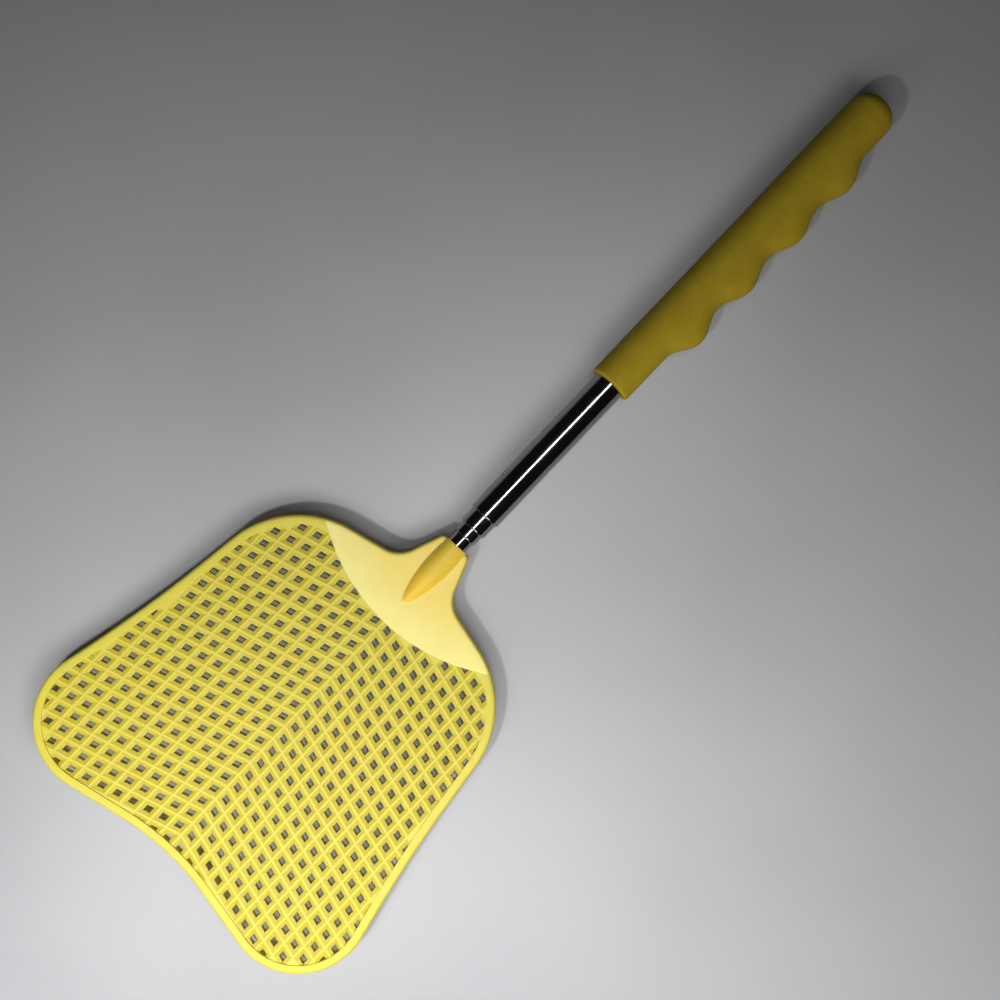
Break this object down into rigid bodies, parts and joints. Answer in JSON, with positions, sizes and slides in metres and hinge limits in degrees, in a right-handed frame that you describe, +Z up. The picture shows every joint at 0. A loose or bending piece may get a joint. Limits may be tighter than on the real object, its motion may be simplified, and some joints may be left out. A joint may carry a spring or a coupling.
{
  "type": "telescopic fly swatter",
  "caption": "Manual telescopic fly swatter: flexible mesh head with a rim and web, on a sliding steel rod with a finger-shaped foam grip.",
  "frame": {"origin": "middle of the box that the pushed-together swatter fills, on the surface it lies on", "axes": "+Y along the rod towards the head, +Z up from the surface, +X across the head; the grip's finger waves face -X"},
  "size_m": [0.111, 0.2881, 0.0122],
  "materials": {
    "head_plastic": "satin injection-moulded soft plastic, slightly translucent",
    "grip_foam": "matte closed-cell foam rubber with a fine skin",
    "polished_steel": "polished stainless steel, drawn tube",
    "shim_bronze": "rolled spring strip, greased",
    "plug_plastic": "black moulded plastic"
  },
  "bodies": {
    "handle": {"grip": "grip_foam", "outer_tube": "polished_steel", "base_plug": "plug_plastic"},
    "second_shims": {"second_tube_upper_shim": "shim_bronze", "second_tube_lower_shim": "shim_bronze"},
    "second_section": {"second_tube": "polished_steel"},
    "third_shims": {"third_tube_upper_shim": "shim_bronze", "third_tube_lower_shim": "shim_bronze"},
    "third_section": {"third_tube": "polished_steel"},
    "tip_shims": {"tip_tube_upper_shim": "shim_bronze", "tip_tube_lower_shim": "shim_bronze"},
    "tip_section": {"tip_tube": "polished_steel", "swatter_head": "head_plastic"}
  },
  "joints": [
    {"name": "second_tube_slide", "type": "slide", "parent": "handle", "child": "second_shims", "axis": [0, 1, 0], "range_m": [0, 0.136]},
    {"name": "second_tube_swivel", "type": "hinge", "parent": "second_shims", "child": "second_section", "pos_m": [0, 0, 0.0061], "axis": [0, 1, 0], "continuous": true},
    {"name": "third_tube_slide", "type": "slide", "parent": "second_section", "child": "third_shims", "axis": [0, 1, 0], "range_m": [0, 0.1407]},
    {"name": "third_tube_swivel", "type": "hinge", "parent": "third_shims", "child": "third_section", "pos_m": [0, 0, 0.0061], "axis": [0, 1, 0], "continuous": true},
    {"name": "tip_tube_slide", "type": "slide", "parent": "third_section", "child": "tip_shims", "axis": [0, 1, 0], "range_m": [0, 0.1438]},
    {"name": "tip_tube_swivel", "type": "hinge", "parent": "tip_shims", "child": "tip_section", "pos_m": [0, 0, 0.0061], "axis": [0, 1, 0], "continuous": true}
  ]
}
